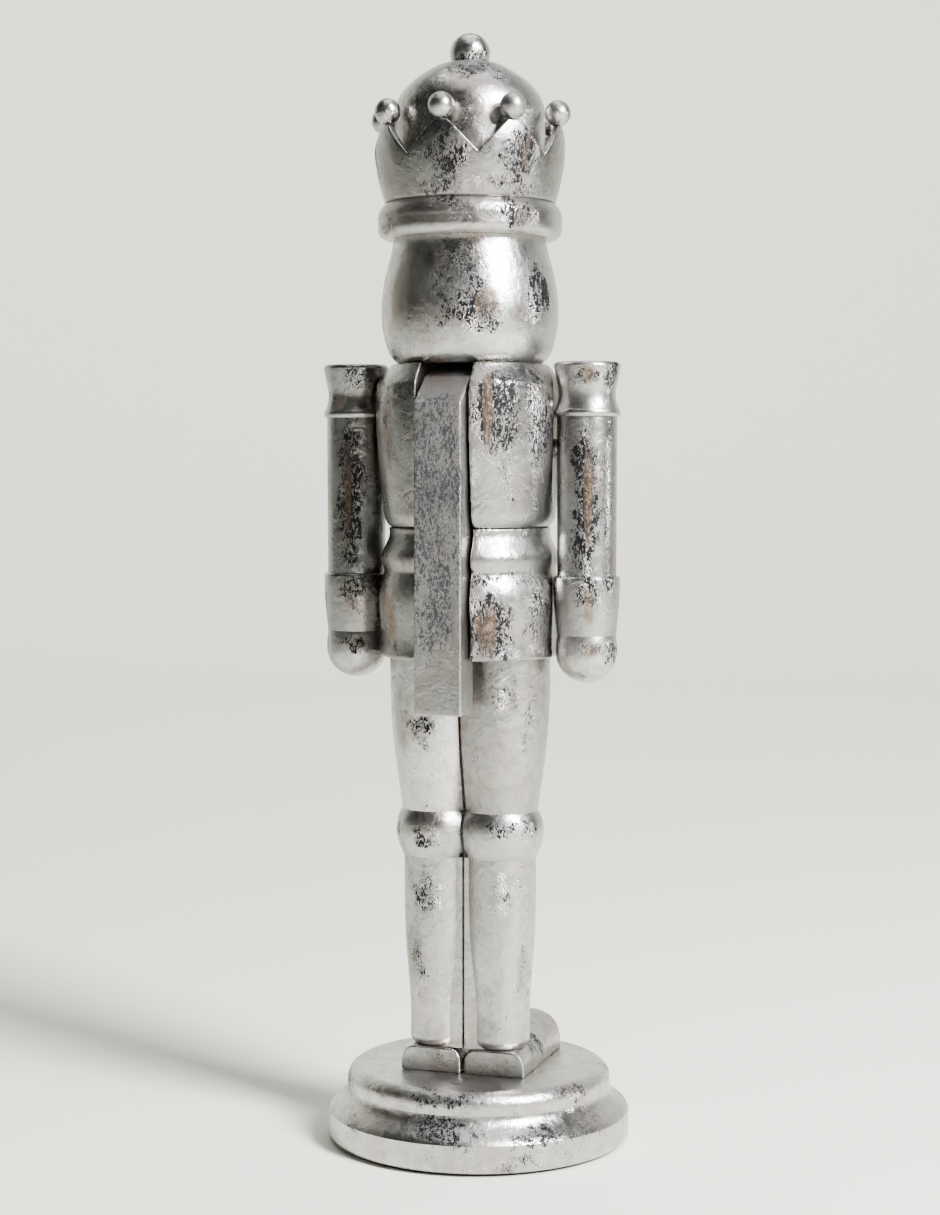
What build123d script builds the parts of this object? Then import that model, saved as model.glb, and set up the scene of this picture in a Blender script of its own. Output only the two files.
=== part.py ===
"""Crowned wooden nutcracker figure, turned and pegged together, with a working jaw lever.

Millimetres, +Z up. The origin is the centre of the plinth's underside. The figure faces -Y,
so its jaw lever hangs at the back, towards +Y.
"""
from math import cos, radians, sin
import os

from build123d import *

os.makedirs("parts", exist_ok=True)

# Driving dimensions: heights above the table
FELT_TOP = 1.0
PLINTH_TOP = 18.9
STEP_TOP = 26.3
SHOE_TOP = 34.8
KNEE_BOTTOM = 101.0
KNEE_TOP = 117.0
SKIRT_BOTTOM = 170.0
WAIST = 214.0
SHOULDER = 269.4
HEAD_TOP = 311.5
BAND_TOP = 323.5
POINT_TOP = 348.4
VALLEY = 337.8
DOME_SPRING = 352.7
FIGURE_TOP = 381.0

# Plan positions
BODY_Y = 10.0            # the figure stands behind the plinth's centre, its toes reach forward
LEG_X = 11.3
ARM_X = 41.4
BODY_AXIS = (0, BODY_Y)

# Radii
PLINTH_R = 52.5
STEP_R = 45.9
DOME_R = 25.5
DOME_RISE = 18.9
FINIAL_R = 6.9
PEARL_R = 4.4
PEARL_CIRCLE_R = 30.9
POINTS = 8
DOWEL_GAP = 0.05         # radial glue gap round every dowel

# Jaw lever
LEVER_W = 16.4
SLOT_W = 18.4
LEVER_BACK = 35.5        # back face behind the body axis
LEVER_T = 13.5
SLOT_WALL = 21.0
PIVOT = (8.0, 256.0)     # behind the body axis, and height
PIN_R = 1.5
PIN_GAP = 0.05

# Arms
ARM_SEAT_R = 11.6        # scoop in the body that each arm stands in


def upright(at):
    """Plane facing the front, with its origin on a vertical axis: local x is radius, local y height."""
    return Plane((at[0], at[1], 0), x_dir=(1, 0, 0), z_dir=(0, -1, 0))


def side_plane(x=0.0):
    """Plane looking along X: local x runs backwards from the body axis, local y is height."""
    return Plane((x, BODY_Y, 0), x_dir=(0, 1, 0), z_dir=(1, 0, 0))


def turned(at, *stretches):
    """A lathe-turned piece from stretches of (radius, height) points, bottom to top.

    Two points are a straight line, three an arc, and more a smooth curve.
    """
    first = stretches[0][0]
    last = stretches[-1][-1]
    with BuildPart() as piece:
        with BuildSketch(upright(at)):
            with BuildLine():
                for stretch in stretches:
                    if len(stretch) == 2:
                        Line(*stretch)
                    elif len(stretch) == 3:
                        ThreePointArc(*stretch)
                    else:
                        Spline(*stretch)
                closing = [last, (0, last[1]), (0, first[1]), first]
                Polyline(*[p for i, p in enumerate(closing) if i == 0 or p != closing[i - 1]])
            make_face()
        revolve(axis=Axis((at[0], at[1], 0), (0, 0, 1)))
    return piece.part


def upright_rod(x, y, radius, bottom, top):
    """A plain round rod standing at (x, y)."""
    with BuildPart() as rod:
        with BuildSketch(Plane.XY.offset(bottom)):
            with Locations((x, y)):
                Circle(radius)
        extrude(amount=top - bottom)
    return rod.part


def cross_rod(y, z, radius, x_from, x_to):
    """A round rod along X."""
    with BuildPart() as rod:
        with BuildSketch(Plane((x_from, y, z), x_dir=(0, 1, 0), z_dir=(1, 0, 0))):
            Circle(radius)
        extrude(amount=x_to - x_from)
    return rod.part


def block(x_size, y_from, y_to, z_from, z_to, x=0.0):
    """A plain block centred on x, given by its limits along Y and Z."""
    with BuildPart() as piece:
        with BuildSketch(Plane.XY.offset(z_from)):
            with Locations((x, (y_from + y_to) / 2)):
                Rectangle(x_size, y_to - y_from)
        extrude(amount=z_to - z_from)
    return piece.part


def keep(piece, name):
    """Label a finished piece and write it out."""
    piece.part.label = name
    export_step(piece.part, f"parts/{name}.step")


# ---------------------------------------------------------------- plinth
SCREW_TOP = 52.0
SCREW_R = 2.0
SCREW_HEAD_R = 4.0
SCREW_HEAD_H = 2.4

with BuildPart() as felt_pad:
    add(turned((0, 0), [(49.5, 0), (49.5, FELT_TOP)]))
keep(felt_pad, "felt_pad")


def screw(x, grow):
    """Countersunk wood screw up through the plinth, grown by a gap where it is used as its own hole."""
    head_bottom = FELT_TOP
    head_top = FELT_TOP + SCREW_HEAD_H
    return turned(
        (x, BODY_Y),
        [(SCREW_HEAD_R + grow, head_bottom), (SCREW_R + grow, head_top)],
        [(SCREW_R + grow, head_top), (SCREW_R + grow, SCREW_TOP)],
    )


with BuildPart() as base_plinth:
    add(turned(
        (0, 0),
        [(50.7, FELT_TOP), (51.97, 1.53), (PLINTH_R, 2.8)],
        [(PLINTH_R, 2.8), (PLINTH_R, 10.6)],
        [(PLINTH_R, 10.6), (52.0, 11.5), (49.8, 13.6), (47.4, 15.7), (STEP_R, PLINTH_TOP)],
    ))
    for side in (-1, 1):
        add(screw(side * LEG_X, DOWEL_GAP), mode=Mode.SUBTRACT)
keep(base_plinth, "base_plinth")

with BuildPart() as base_step:
    add(turned(
        (0, 0),
        [(STEP_R, PLINTH_TOP), (STEP_R, 21.6)],
        [(STEP_R, 21.6), (44.52, 24.92), (41.2, STEP_TOP)],
    ))
    for side in (-1, 1):
        add(screw(side * LEG_X, DOWEL_GAP), mode=Mode.SUBTRACT)
keep(base_step, "base_step")

with BuildPart() as base_screws:
    for side in (-1, 1):
        add(screw(side * LEG_X, 0))
keep(base_screws, "base_screws")

# ---------------------------------------------------------------- legs
SHOE_HALF = 10.7
SHOE_HEEL_Y = BODY_Y + 9.0
SHOE_CORNER = 4.5        # rounding of the heel's two top corners
TOE_Y = BODY_Y - 36.0
TOE_TOP = 40.0
TOE_CORNER = SHOE_HALF - 0.05
LEG_GAP = 0.4            # each leg's inner flat stands this far from the middle plane
BOOT_WEB_HALF = 7.5      # half the thickness of the boot's straight inner side
HIP_DOWEL_R = 4.0
HIP_DOWEL = (158.0, 184.0)
KNEE_DOWEL_R = 4.0
KNEE_DOWEL = (86.0, 132.0)


def inner_flat(side):
    """Everything on the far side of a leg's inner flat, to cut away."""
    return block(40, BODY_Y - 30, BODY_Y + 30, SHOE_TOP, SKIRT_BOTTOM, x=-side * (20 - LEG_GAP))


def boot_solid(side):
    """A boot before it is bored: turned, then filled out to a straight inner side."""
    with BuildPart() as solid:
        add(turned(
            (side * LEG_X, BODY_Y),
            [(7.6, SHOE_TOP), (9.3, 36.1), (9.9, 38.5)],
            [
                (9.9, 38.5), (9.9, 49.0), (10.4, 57.5), (11.3, 67.8), (11.8, 78.0), (12.0, 93.8),
                (12.0, KNEE_BOTTOM),
            ],
        ))
        add(block(
            LEG_X, BODY_Y - BOOT_WEB_HALF, BODY_Y + BOOT_WEB_HALF, SHOE_TOP, KNEE_BOTTOM, x=side * LEG_X / 2,
        ))
        add(inner_flat(side), mode=Mode.SUBTRACT)
    return solid.part


def shoe_section(side, y, top, corner):
    """One cross-section of a shoe: flat below, with two rounded corners on top."""
    plane = Plane((side * LEG_X, y, 0), x_dir=(1, 0, 0), z_dir=(0, -1, 0))
    flat_half = SHOE_HALF - corner
    slant = corner * cos(radians(45))
    with BuildSketch(plane) as section:
        with BuildLine():
            Polyline(
                (-SHOE_HALF, top - corner), (-SHOE_HALF, STEP_TOP),
                (SHOE_HALF, STEP_TOP), (SHOE_HALF, top - corner),
            )
            ThreePointArc(
                (SHOE_HALF, top - corner), (flat_half + slant, top - corner + slant), (flat_half, top),
            )
            Line((flat_half, top), (-flat_half, top))
            ThreePointArc(
                (-flat_half, top), (-flat_half - slant, top - corner + slant), (-SHOE_HALF, top - corner),
            )
        make_face()
    return section.sketch


for side, hand in ((1, "left"), (-1, "right")):
    leg_axis = (side * LEG_X, BODY_Y)

    with BuildPart() as shoe:
        add(loft([
            shoe_section(side, SHOE_HEEL_Y, SHOE_TOP, SHOE_CORNER),
            shoe_section(side, TOE_Y, TOE_TOP, TOE_CORNER),
        ]))
        add(turned(
            (side * LEG_X, TOE_Y),
            [(SHOE_HALF, STEP_TOP), (SHOE_HALF, TOE_TOP - SHOE_HALF)],
            [
                (SHOE_HALF, TOE_TOP - SHOE_HALF),
                (SHOE_HALF * cos(radians(45)), TOE_TOP - SHOE_HALF * (1 - sin(radians(45)))),
                (0, TOE_TOP),
            ],
        ))
        add(boot_solid(side), mode=Mode.SUBTRACT)
        add(screw(side * LEG_X, DOWEL_GAP), mode=Mode.SUBTRACT)
    keep(shoe, f"{hand}_shoe")

    with BuildPart() as boot:
        add(boot_solid(side))
        add(screw(side * LEG_X, DOWEL_GAP), mode=Mode.SUBTRACT)
        add(upright_rod(*leg_axis, KNEE_DOWEL_R + DOWEL_GAP, KNEE_DOWEL[0], KNEE_BOTTOM), mode=Mode.SUBTRACT)
    keep(boot, f"{hand}_boot")

    with BuildPart() as knee_roll:
        add(turned(
            leg_axis,
            [(12.2, KNEE_BOTTOM), (13.9, 105.0), (14.6, 110.0), (13.9, 114.4), (12.6, KNEE_TOP)],
        ))
        add(inner_flat(side), mode=Mode.SUBTRACT)
        add(upright_rod(*leg_axis, KNEE_DOWEL_R + DOWEL_GAP, KNEE_BOTTOM, KNEE_TOP), mode=Mode.SUBTRACT)
    keep(knee_roll, f"{hand}_knee_roll")

    with BuildPart() as thigh:
        add(turned(
            leg_axis,
            [
                (12.6, KNEE_TOP), (13.5, 124.0), (14.7, 132.3), (15.7, 140.6), (16.6, 155.0),
                (16.8, SKIRT_BOTTOM),
            ],
        ))
        add(inner_flat(side), mode=Mode.SUBTRACT)
        add(upright_rod(*leg_axis, KNEE_DOWEL_R + DOWEL_GAP, KNEE_TOP, KNEE_DOWEL[1]), mode=Mode.SUBTRACT)
        add(upright_rod(*leg_axis, HIP_DOWEL_R + DOWEL_GAP, HIP_DOWEL[0], SKIRT_BOTTOM), mode=Mode.SUBTRACT)
    keep(thigh, f"{hand}_thigh")

with BuildPart() as knee_dowels:
    for side in (-1, 1):
        add(upright_rod(side * LEG_X, BODY_Y, KNEE_DOWEL_R, *KNEE_DOWEL))
keep(knee_dowels, "knee_dowels")

with BuildPart() as hip_dowels:
    for side in (-1, 1):
        add(upright_rod(side * LEG_X, BODY_Y, HIP_DOWEL_R, *HIP_DOWEL))
keep(hip_dowels, "hip_dowels")

# ---------------------------------------------------------------- body
WAIST_DOWEL_R = 6.0
WAIST_DOWEL = (196.0, 230.0)
NECK_DOWEL_R = 3.0
NECK_DOWEL_X = 16.0
NECK_DOWEL_Y = BODY_Y - 4.0
NECK_DOWEL = (256.0, 282.0)
PEG_R = 3.0
PEG_Z = 241.0
PEG_X = (18.0, 41.0)
PIN_HALF = 30.6


def lever_slot():
    """The slot down the whole back of the body that the lever hangs in."""
    return block(SLOT_W, BODY_Y + SLOT_WALL, BODY_Y + 60, SKIRT_BOTTOM - 1, SHOULDER + 1)


def jaw_passage():
    """The passage over the top of the chest, stepped down at the front so that the jaw can drop."""
    with BuildPart() as passage:
        with BuildSketch(side_plane(-SLOT_W / 2)):
            with BuildLine():
                Polyline(
                    (SLOT_WALL + 1, SHOULDER + 1), (SLOT_WALL + 1, 250.2), (12, 250.2), (-18, 240.5),
                    (-22.5, 233.5), (-45, 233.5), (-45, SHOULDER + 1), close=True,
                )
            make_face()
        extrude(amount=SLOT_W)
    return passage.part


def arm_seats(bottom, top):
    """The scoops in the body's sides that the arms stand in."""
    with BuildPart() as seats:
        for side in (-1, 1):
            add(upright_rod(side * ARM_X, BODY_Y, ARM_SEAT_R, bottom, top))
    return seats.part


SKIRT_SOLID = turned(
    BODY_AXIS,
    [(31.0, SKIRT_BOTTOM), (31.2, 188.0), (30.8, 194.2), (30.2, 196.5), (29.3, 199.2)],
    [(29.3, 199.2), (30.0, 201.8), (30.2, 204.4), (29.2, 207.4), (27.8, 210.4), (27.8, WAIST)],
)

with BuildPart() as coat_skirt:
    add(SKIRT_SOLID)
    add(lever_slot(), mode=Mode.SUBTRACT)
    add(arm_seats(SKIRT_BOTTOM - 1, WAIST + 1), mode=Mode.SUBTRACT)
    add(upright_rod(*BODY_AXIS, WAIST_DOWEL_R + DOWEL_GAP, WAIST_DOWEL[0], WAIST), mode=Mode.SUBTRACT)
    for side in (-1, 1):
        add(upright_rod(side * LEG_X, BODY_Y, HIP_DOWEL_R + DOWEL_GAP, SKIRT_BOTTOM, HIP_DOWEL[1]),
            mode=Mode.SUBTRACT)
keep(coat_skirt, "coat_skirt")

CHEST_SIDE = [(29.6, 219.5), (31.0, 234.0), (32.0, 248.0), (32.1, 256.5), (31.8, 262.6)]

with BuildPart() as chest:
    add(turned(
        BODY_AXIS,
        [(27.0, WAIST), (28.8, 216.3), (29.6, 219.5)],
        CHEST_SIDE,
        [(31.8, 262.6), (27.2, 268.6)],
        [(27.2, 268.6), (26.5, 269.2), (25.6, SHOULDER)],
    ))
    add(lever_slot(), mode=Mode.SUBTRACT)
    add(jaw_passage(), mode=Mode.SUBTRACT)
    add(arm_seats(WAIST - 1, SHOULDER + 1), mode=Mode.SUBTRACT)
    add(upright_rod(*BODY_AXIS, WAIST_DOWEL_R + DOWEL_GAP, WAIST, WAIST_DOWEL[1]), mode=Mode.SUBTRACT)
    add(cross_rod(BODY_Y + PIVOT[0], PIVOT[1], PIN_R + 0.01, -40, 40), mode=Mode.SUBTRACT)
    for side in (-1, 1):
        add(upright_rod(side * NECK_DOWEL_X, NECK_DOWEL_Y, NECK_DOWEL_R + DOWEL_GAP,
                        NECK_DOWEL[0], SHOULDER + 1),
            mode=Mode.SUBTRACT)
        near, far = sorted((side * PEG_X[0], side * PEG_X[1]))
        add(cross_rod(BODY_Y, PEG_Z, PEG_R + DOWEL_GAP, near, far), mode=Mode.SUBTRACT)
keep(chest, "chest")

with BuildPart() as waist_dowel:
    add(upright_rod(*BODY_AXIS, WAIST_DOWEL_R, *WAIST_DOWEL))
keep(waist_dowel, "waist_dowel")

with BuildPart() as neck_dowels:
    for side in (-1, 1):
        add(upright_rod(side * NECK_DOWEL_X, NECK_DOWEL_Y, NECK_DOWEL_R, *NECK_DOWEL))
keep(neck_dowels, "neck_dowels")

with BuildPart() as pivot_pin:
    add(cross_rod(BODY_Y + PIVOT[0], PIVOT[1], PIN_R, -PIN_HALF, PIN_HALF))
keep(pivot_pin, "pivot_pin")

# ---------------------------------------------------------------- jaw lever
LEVER_BOTTOM = 152.4
LEVER_INNER = LEVER_BACK - LEVER_T
JAW_FRONT = -28.0
JAW_TOP = 269.9
BAR_BOTTOM = 251.0
BAR_TOP = 264.9
CREST_TOP = 268.9        # closes the slot under the head, and still clears it when the jaw is open
BEARD_BOTTOM = 245.0
TOOTH_GAP = 0.4

with BuildPart() as jaw_lever:
    with BuildSketch(side_plane(-LEVER_W / 2)):
        with BuildLine():
            Polyline(
                (LEVER_BACK, LEVER_BOTTOM), (LEVER_BACK, 255.7), (24.0, BAR_TOP), (9.5, CREST_TOP),
                (0.0, CREST_TOP),
                (-4.0, BAR_TOP), (-8.0, BAR_TOP), (-14.0, JAW_TOP), (JAW_FRONT, JAW_TOP),
                (JAW_FRONT, BAR_BOTTOM), (LEVER_INNER, BAR_BOTTOM),
                (LEVER_INNER, LEVER_BOTTOM), close=True,
            )
        make_face()
    extrude(amount=LEVER_W)
    long_edges = jaw_lever.edges().filter_by(Axis.X)
    foot_corner = long_edges.filter_by(lambda e: abs(e.center().Z - LEVER_BOTTOM) < 0.1).sort_by(Axis.Y)[0]
    elbow = long_edges.filter_by(
        lambda e: abs(e.center().Z - BAR_BOTTOM) < 0.1 and e.center().Y > BODY_Y
    )
    fillet(foot_corner, 2.4)
    fillet(elbow, 3.0)
    add(cross_rod(BODY_Y + PIVOT[0], PIVOT[1], PIN_R + PIN_GAP, -20, 20), mode=Mode.SUBTRACT)
keep(jaw_lever, "jaw_lever")

BEARD_HALF = LEVER_W / 2
BEARD_TOP = 268.4
BEARD_T = 5.0

with BuildPart() as beard:
    with BuildSketch(Plane((0, BODY_Y + JAW_FRONT, 0), x_dir=(1, 0, 0), z_dir=(0, -1, 0))):
        with BuildLine():
            curl_z = BEARD_BOTTOM + BEARD_HALF
            Polyline(
                (-BEARD_HALF, curl_z), (-BEARD_HALF, BEARD_TOP), (BEARD_HALF, BEARD_TOP), (BEARD_HALF, curl_z),
            )
            ThreePointArc((BEARD_HALF, curl_z), (0, BEARD_BOTTOM), (-BEARD_HALF, curl_z))
        make_face()
    extrude(amount=BEARD_T, taper=8)
keep(beard, "beard")


def tooth_row(count, width, z_from, z_to):
    """A row of square teeth on one strip, set just behind the lips."""
    gap = 0.5
    pitch = (width + gap) / count
    with BuildPart() as row:
        add(block(width, BODY_Y - 26.8, BODY_Y - 23.6, z_from, z_to))
        for i in range(1, count):
            groove = block(gap, BODY_Y - 27, BODY_Y - 26.1, z_from, z_to, x=-(width + gap) / 2 + i * pitch)
            add(groove, mode=Mode.SUBTRACT)
    return row.part


MOUTH_CEILING = 278.5
TOOTH_LINE = 272.9

with BuildPart() as lower_teeth:
    add(tooth_row(5, 15.0, JAW_TOP, TOOTH_LINE))
keep(lower_teeth, "lower_teeth")

with BuildPart() as upper_teeth:
    add(tooth_row(6, 17.0, TOOTH_LINE + TOOTH_GAP, MOUTH_CEILING))
keep(upper_teeth, "upper_teeth")

# ---------------------------------------------------------------- head
HEAD_SIDE = [
    (24.0, SHOULDER), (26.6, 271.6), (28.9, 277.0), (30.1, 284.0), (30.0, 291.5),
    (28.8, 299.0), (27.0, 306.0), (25.9, HEAD_TOP),
]
MOUTH_BACK = -8.0


def mouth():
    """The mouth: a notch in the head's underside, open at the front, for the jaw to bite into."""
    return block(SLOT_W, BODY_Y - 45, BODY_Y + MOUTH_BACK, SHOULDER - 1, MOUTH_CEILING)


with BuildPart() as head:
    add(turned(BODY_AXIS, HEAD_SIDE))
    add(mouth(), mode=Mode.SUBTRACT)
    for side in (-1, 1):
        add(upright_rod(side * NECK_DOWEL_X, NECK_DOWEL_Y, NECK_DOWEL_R + DOWEL_GAP,
                        SHOULDER - 1, NECK_DOWEL[1]),
            mode=Mode.SUBTRACT)
keep(head, "head")

HEAD_SOLID = turned(BODY_AXIS, HEAD_SIDE)


def on_the_face(shape):
    """Seat a face piece on the head: whatever would be inside the head is cut away."""
    with BuildPart() as piece:
        add(shape)
        add(HEAD_SOLID, mode=Mode.SUBTRACT)
    return piece.part


def bead(x, y, z, radius):
    """A ball."""
    with BuildPart() as ball:
        with Locations((x, y, z)):
            Sphere(radius)
    return ball.part


with BuildPart() as nose:
    add(on_the_face(turned(
        (0, BODY_Y - 29.5),
        [(0, 285.2), (2.83, 286.37), (4.0, 289.2)],
        [(4.0, 289.2), (3.1, 295.0), (1.6, 299.5)],
    )))
keep(nose, "nose")

MOUSTACHE_REACH = 12.0

with BuildPart() as moustache:
    with BuildSketch(Plane((0, BODY_Y - 40, 0), x_dir=(1, 0, 0), z_dir=(0, -1, 0))):
        with BuildLine():
            Spline(
                (-MOUSTACHE_REACH, 284.4), (-6.5, 283.0), (0, 284.6), (6.5, 283.0), (MOUSTACHE_REACH, 284.4),
            )
            Spline(
                (MOUSTACHE_REACH, 284.4), (6.0, 279.0), (0, 280.4), (-6.0, 279.0), (-MOUSTACHE_REACH, 284.4),
            )
        make_face()
    extrude(amount=-20)
    add(turned(BODY_AXIS, [(31.8, 276.0), (31.8, 288.0)]), mode=Mode.INTERSECT)
    add(HEAD_SOLID, mode=Mode.SUBTRACT)
keep(moustache, "moustache")

with BuildPart() as eyes:
    for side in (-1, 1):
        add(on_the_face(bead(side * 9.0, BODY_Y - 27.2, 294.0, 2.9)))
keep(eyes, "eyes")

with BuildPart() as brows:
    for side in (-1, 1):
        with BuildSketch(Plane((side * 9.2, BODY_Y - 40, 301.0), x_dir=(1, 0, 0), z_dir=(0, -1, 0))):
            with BuildLine():
                ThreePointArc((-5.0, -1.2), (0, 0.8), (5.0, -1.2))
                ThreePointArc((5.0, -1.2), (0, 2.6), (-5.0, -1.2))
            make_face()
        extrude(amount=-20)
    add(turned(BODY_AXIS, [(30.2, 297.0), (29.4, 306.0)]), mode=Mode.INTERSECT)
    add(HEAD_SOLID, mode=Mode.SUBTRACT)
keep(brows, "brows")

# ---------------------------------------------------------------- crown
WALL_T = 2.2
PEARL_Z = POINT_TOP + PEARL_R
PEARL_PIN_R = 0.75
PEARL_PIN = (342.5, 352.5)
FINIAL_Z = FIGURE_TOP - FINIAL_R
FINIAL_DOWEL_R = 2.0
FINIAL_DOWEL = (358.0, 374.5)
NOTCH_TOP_HALF = 10.4

with BuildPart() as crown_band:
    add(turned(
        BODY_AXIS,
        [(29.0, HEAD_TOP), (30.64, 312.8), (31.3, 315.0)],
        [(31.3, 315.0), (31.3, 317.5)],
        [(31.3, 317.5), (30.6, 321.3), (28.6, BAND_TOP)],
    ))
keep(crown_band, "crown_band")


def crown_cup(inset, bottom, top):
    """Solid cup of the crown wall's flared outline, drawn in by inset."""
    outline = [(29.0, bottom), (30.1, 327.5), (31.3, 333.0), (32.3, 339.5), (32.4, 343.5), (31.9, top)]
    return turned(BODY_AXIS, [(r - inset, z) for r, z in outline])


with BuildPart() as crown_wall:
    add(crown_cup(0, BAND_TOP, POINT_TOP))
    add(crown_cup(WALL_T, BAND_TOP, POINT_TOP), mode=Mode.SUBTRACT)
    for k in range(POINTS):
        valley_angle = radians(90 + (k + 0.5) * 360 / POINTS)
        outward = (cos(valley_angle), sin(valley_angle), 0)
        sideways = (-sin(valley_angle), cos(valley_angle), 0)
        with BuildSketch(Plane((0, BODY_Y, 0), x_dir=sideways, z_dir=outward)):
            with BuildLine():
                Polyline((0, VALLEY), (NOTCH_TOP_HALF, POINT_TOP), (NOTCH_TOP_HALF, POINT_TOP + 2),
                         (-NOTCH_TOP_HALF, POINT_TOP + 2), (-NOTCH_TOP_HALF, POINT_TOP), close=True)
            make_face()
        extrude(amount=40, mode=Mode.SUBTRACT)
    for k in range(POINTS):
        peak_angle = radians(90 + k * 360 / POINTS)
        x = PEARL_CIRCLE_R * cos(peak_angle)
        y = BODY_Y + PEARL_CIRCLE_R * sin(peak_angle)
        add(upright_rod(x, y, PEARL_PIN_R + 0.02, PEARL_PIN[0], POINT_TOP + 1), mode=Mode.SUBTRACT)
keep(crown_wall, "crown_wall")

with BuildPart() as crown_pearls:
    for k in range(POINTS):
        peak_angle = radians(90 + k * 360 / POINTS)
        x = PEARL_CIRCLE_R * cos(peak_angle)
        y = BODY_Y + PEARL_CIRCLE_R * sin(peak_angle)
        add(bead(x, y, PEARL_Z, PEARL_R))
        add(upright_rod(x, y, PEARL_PIN_R + 0.02, POINT_TOP - 1, PEARL_PIN[1]), mode=Mode.SUBTRACT)
keep(crown_pearls, "crown_pearls")

with BuildPart() as pearl_pins:
    for k in range(POINTS):
        peak_angle = radians(90 + k * 360 / POINTS)
        x = PEARL_CIRCLE_R * cos(peak_angle)
        y = BODY_Y + PEARL_CIRCLE_R * sin(peak_angle)
        add(upright_rod(x, y, PEARL_PIN_R, *PEARL_PIN))
keep(pearl_pins, "pearl_pins")


def dome_solid():
    """The crown's dome: a straight drum with a half-ellipse on top."""
    with BuildPart() as dome:
        with BuildSketch(upright(BODY_AXIS)):
            with BuildLine():
                Polyline(
                    (0, DOME_SPRING + DOME_RISE), (0, BAND_TOP), (DOME_R, BAND_TOP), (DOME_R, DOME_SPRING),
                )
                steps = [radians(a) for a in (0, 30, 60, 90)]
                Spline(
                    *[(DOME_R * cos(a), DOME_SPRING + DOME_RISE * sin(a)) for a in steps],
                    tangents=[(0, 1), (-1, 0)],
                )
            make_face()
        revolve(axis=Axis((*BODY_AXIS, 0), (0, 0, 1)))
    return dome.part


with BuildPart() as crown_dome:
    add(dome_solid())
    add(upright_rod(*BODY_AXIS, FINIAL_DOWEL_R + DOWEL_GAP, FINIAL_DOWEL[0], FIGURE_TOP), mode=Mode.SUBTRACT)
keep(crown_dome, "crown_dome")

with BuildPart() as crown_finial:
    add(bead(*BODY_AXIS, FINIAL_Z, FINIAL_R))
    add(dome_solid(), mode=Mode.SUBTRACT)
    add(upright_rod(*BODY_AXIS, FINIAL_DOWEL_R + DOWEL_GAP, FINIAL_DOWEL[0], FINIAL_DOWEL[1]),
        mode=Mode.SUBTRACT)
keep(crown_finial, "crown_finial")

with BuildPart() as finial_dowel:
    add(upright_rod(*BODY_AXIS, FINIAL_DOWEL_R, *FINIAL_DOWEL))
keep(finial_dowel, "finial_dowel")

# ---------------------------------------------------------------- arms
SLEEVE_BOTTOM = 197.9
SLEEVE_TOP = 251.5
CUFF_BOTTOM = 177.9
HAND_BOTTOM = 161.7
ARM_DOWEL_R = 3.0
ARM_DOWEL = (167.0, 262.0)

for side, hand in ((1, "left"), (-1, "right")):
    arm_axis = (side * ARM_X, BODY_Y)
    near, far = sorted((side * PEG_X[0], side * PEG_X[1]))

    with BuildPart() as shoulder_cap:
        add(turned(
            arm_axis,
            [(10.7, SLEEVE_TOP), (11.2, 252.6), (10.8, 253.9)],
            [(10.8, 253.9), (9.9, 256.4), (9.6, 259.0), (10.1, 262.5), (10.9, 266.6), (11.2, 268.4)],
            [(11.2, 268.4), (10.9, 269.2), (10.1, 269.7)],
        ))
        add(upright_rod(*arm_axis, ARM_DOWEL_R + DOWEL_GAP, SLEEVE_TOP, ARM_DOWEL[1]), mode=Mode.SUBTRACT)
    keep(shoulder_cap, f"{hand}_shoulder_cap")

    with BuildPart() as sleeve:
        add(turned(arm_axis, [(10.0, SLEEVE_BOTTOM), (10.15, SLEEVE_TOP)]))
        add(upright_rod(*arm_axis, ARM_DOWEL_R + DOWEL_GAP, SLEEVE_BOTTOM, SLEEVE_TOP), mode=Mode.SUBTRACT)
        add(cross_rod(BODY_Y, PEG_Z, PEG_R + DOWEL_GAP, near, far), mode=Mode.SUBTRACT)
    keep(sleeve, f"{hand}_sleeve")

    with BuildPart() as cuff:
        add(turned(
            arm_axis,
            [(10.0, CUFF_BOTTOM), (10.4, 181.5), (10.9, 187.0), (11.2, 192.0), (11.2, 196.9)],
            [(11.2, 196.9), (10.9, 197.6), (10.2, SLEEVE_BOTTOM)],
        ))
        add(upright_rod(*arm_axis, ARM_DOWEL_R + DOWEL_GAP, CUFF_BOTTOM, SLEEVE_BOTTOM), mode=Mode.SUBTRACT)
    keep(cuff, f"{hand}_cuff")

    with BuildPart() as mitt:
        add(turned(
            arm_axis,
            [(0, HAND_BOTTOM), (7.4, 164.7), (10.35, 172.0)],
            [(10.35, 172.0), (10.3, 175.0), (9.9, CUFF_BOTTOM)],
        ))
        add(upright_rod(*arm_axis, ARM_DOWEL_R + DOWEL_GAP, ARM_DOWEL[0], CUFF_BOTTOM), mode=Mode.SUBTRACT)
    keep(mitt, f"{hand}_hand")

with BuildPart() as arm_dowels:
    for side in (-1, 1):
        add(upright_rod(side * ARM_X, BODY_Y, ARM_DOWEL_R, *ARM_DOWEL))
keep(arm_dowels, "arm_dowels")

with BuildPart() as shoulder_pegs:
    for side in (-1, 1):
        near, far = sorted((side * (PEG_X[0] + 0.5), side * (ARM_X - ARM_DOWEL_R - 0.1)))
        add(cross_rod(BODY_Y, PEG_Z, PEG_R, near, far))
keep(shoulder_pegs, "shoulder_pegs")

# ---------------------------------------------------------------- coat trimmings
BUTTON_ROWS = (222.0, 234.0, 246.0)
BUTTON_X = 14.0
BUTTON_R = 2.6

with BuildPart() as coat_buttons:
    for side in (-1, 1):
        for z in BUTTON_ROWS:
            with BuildPart() as button:
                add(bead(side * BUTTON_X, BODY_Y - 27.0, z, BUTTON_R))
                add(turned(BODY_AXIS, CHEST_SIDE), mode=Mode.SUBTRACT)
            add(button.part)
keep(coat_buttons, "coat_buttons")

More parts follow.
